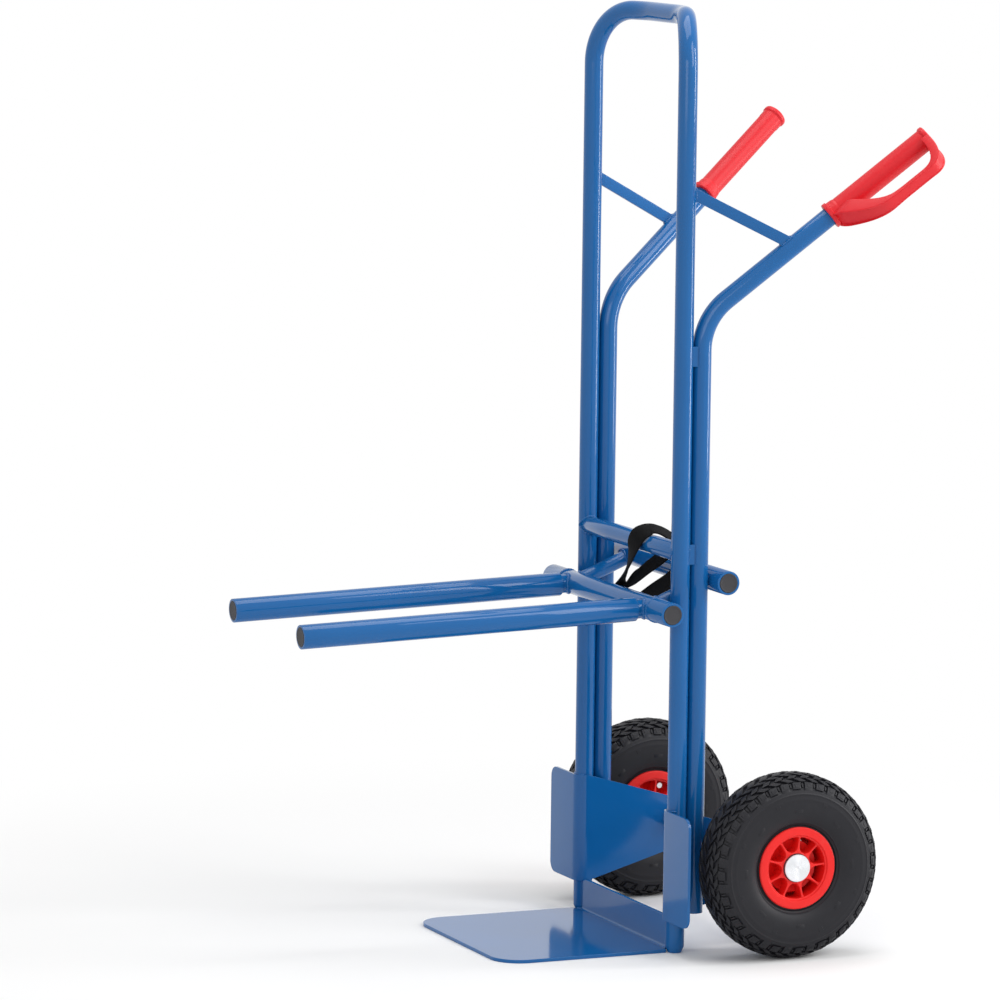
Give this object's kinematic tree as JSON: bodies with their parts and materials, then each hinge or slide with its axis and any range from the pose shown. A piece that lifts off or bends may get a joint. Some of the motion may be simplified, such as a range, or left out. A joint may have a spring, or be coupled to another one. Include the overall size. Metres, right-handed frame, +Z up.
{
  "type": "hand truck",
  "caption": "Upright tubular hand truck with pneumatic wheels, guarded handles, a short toe plate and a sliding fork for stacks of chairs.",
  "frame": {"origin": "on the floor, on the underside of the toe plate, on the centre line", "axes": "+Z up; the front with the toe plate and the fork's arms faces -Y; +X is the left side of a person who stands behind it at +Y"},
  "size_m": [0.5932, 0.8994, 1.322],
  "materials": {
    "blue_paint": "gloss",
    "grip_plastic": "gloss",
    "rim_plastic": "satin",
    "tyre_rubber": "matt",
    "tube_rubber": "matt",
    "zinc_steel": "bright zinc plate",
    "black_plastic": "matt",
    "webbing": "woven webbing"
  },
  "bodies": {
    "frame": {"main_frame_tube": "blue_paint", "handle_tube_left": "blue_paint", "handle_tube_right": "blue_paint", "tube_spacers": "blue_paint", "brace_left": "blue_paint", "brace_right": "blue_paint", "mid_crossbar": "blue_paint", "toe_plate": "blue_paint", "axle_bracket_left": "blue_paint", "axle_bracket_right": "blue_paint", "axle_tube": "blue_paint", "axle": "zinc_steel", "axle_washers": "zinc_steel", "hub_seals": "black_plastic", "hub_cap_left": "zinc_steel", "hub_cap_right": "zinc_steel", "grip_left": "grip_plastic", "grip_right": "grip_plastic", "strap": "webbing", "strap_keeper": "zinc_steel"},
    "wheel_left": {"tyre_left": "tyre_rubber", "inner_tube_left": "tube_rubber", "valve_left": "zinc_steel", "rim_outer_left": "rim_plastic", "rim_inner_left": "rim_plastic", "rim_screws_left": "zinc_steel", "hub_bearings_left": "zinc_steel"},
    "wheel_right": {"tyre_right": "tyre_rubber", "inner_tube_right": "tube_rubber", "valve_right": "zinc_steel", "rim_outer_right": "rim_plastic", "rim_inner_right": "rim_plastic", "rim_screws_right": "zinc_steel", "hub_bearings_right": "zinc_steel"},
    "fork": {"fork_front_bar": "blue_paint", "fork_rear_bar": "blue_paint", "fork_link_left": "blue_paint", "fork_link_right": "blue_paint", "fork_stub_left": "blue_paint", "fork_stub_right": "blue_paint", "fork_arm_left": "blue_paint", "fork_arm_right": "blue_paint", "fork_bar_plugs": "black_plastic", "fork_arm_plugs": "black_plastic"}
  },
  "joints": [
    {"name": "wheel_left_spin", "type": "hinge", "parent": "frame", "child": "wheel_left", "pos_m": [0.239, 0.155, 0.131], "axis": [1, 0, 0], "continuous": true},
    {"name": "wheel_right_spin", "type": "hinge", "parent": "frame", "child": "wheel_right", "pos_m": [-0.239, 0.155, 0.131], "axis": [1, 0, 0], "continuous": true},
    {"name": "fork_slide", "type": "slide", "parent": "frame", "child": "fork", "axis": [0, 0, 1], "range_m": [-0.262, 0.004]}
  ]
}
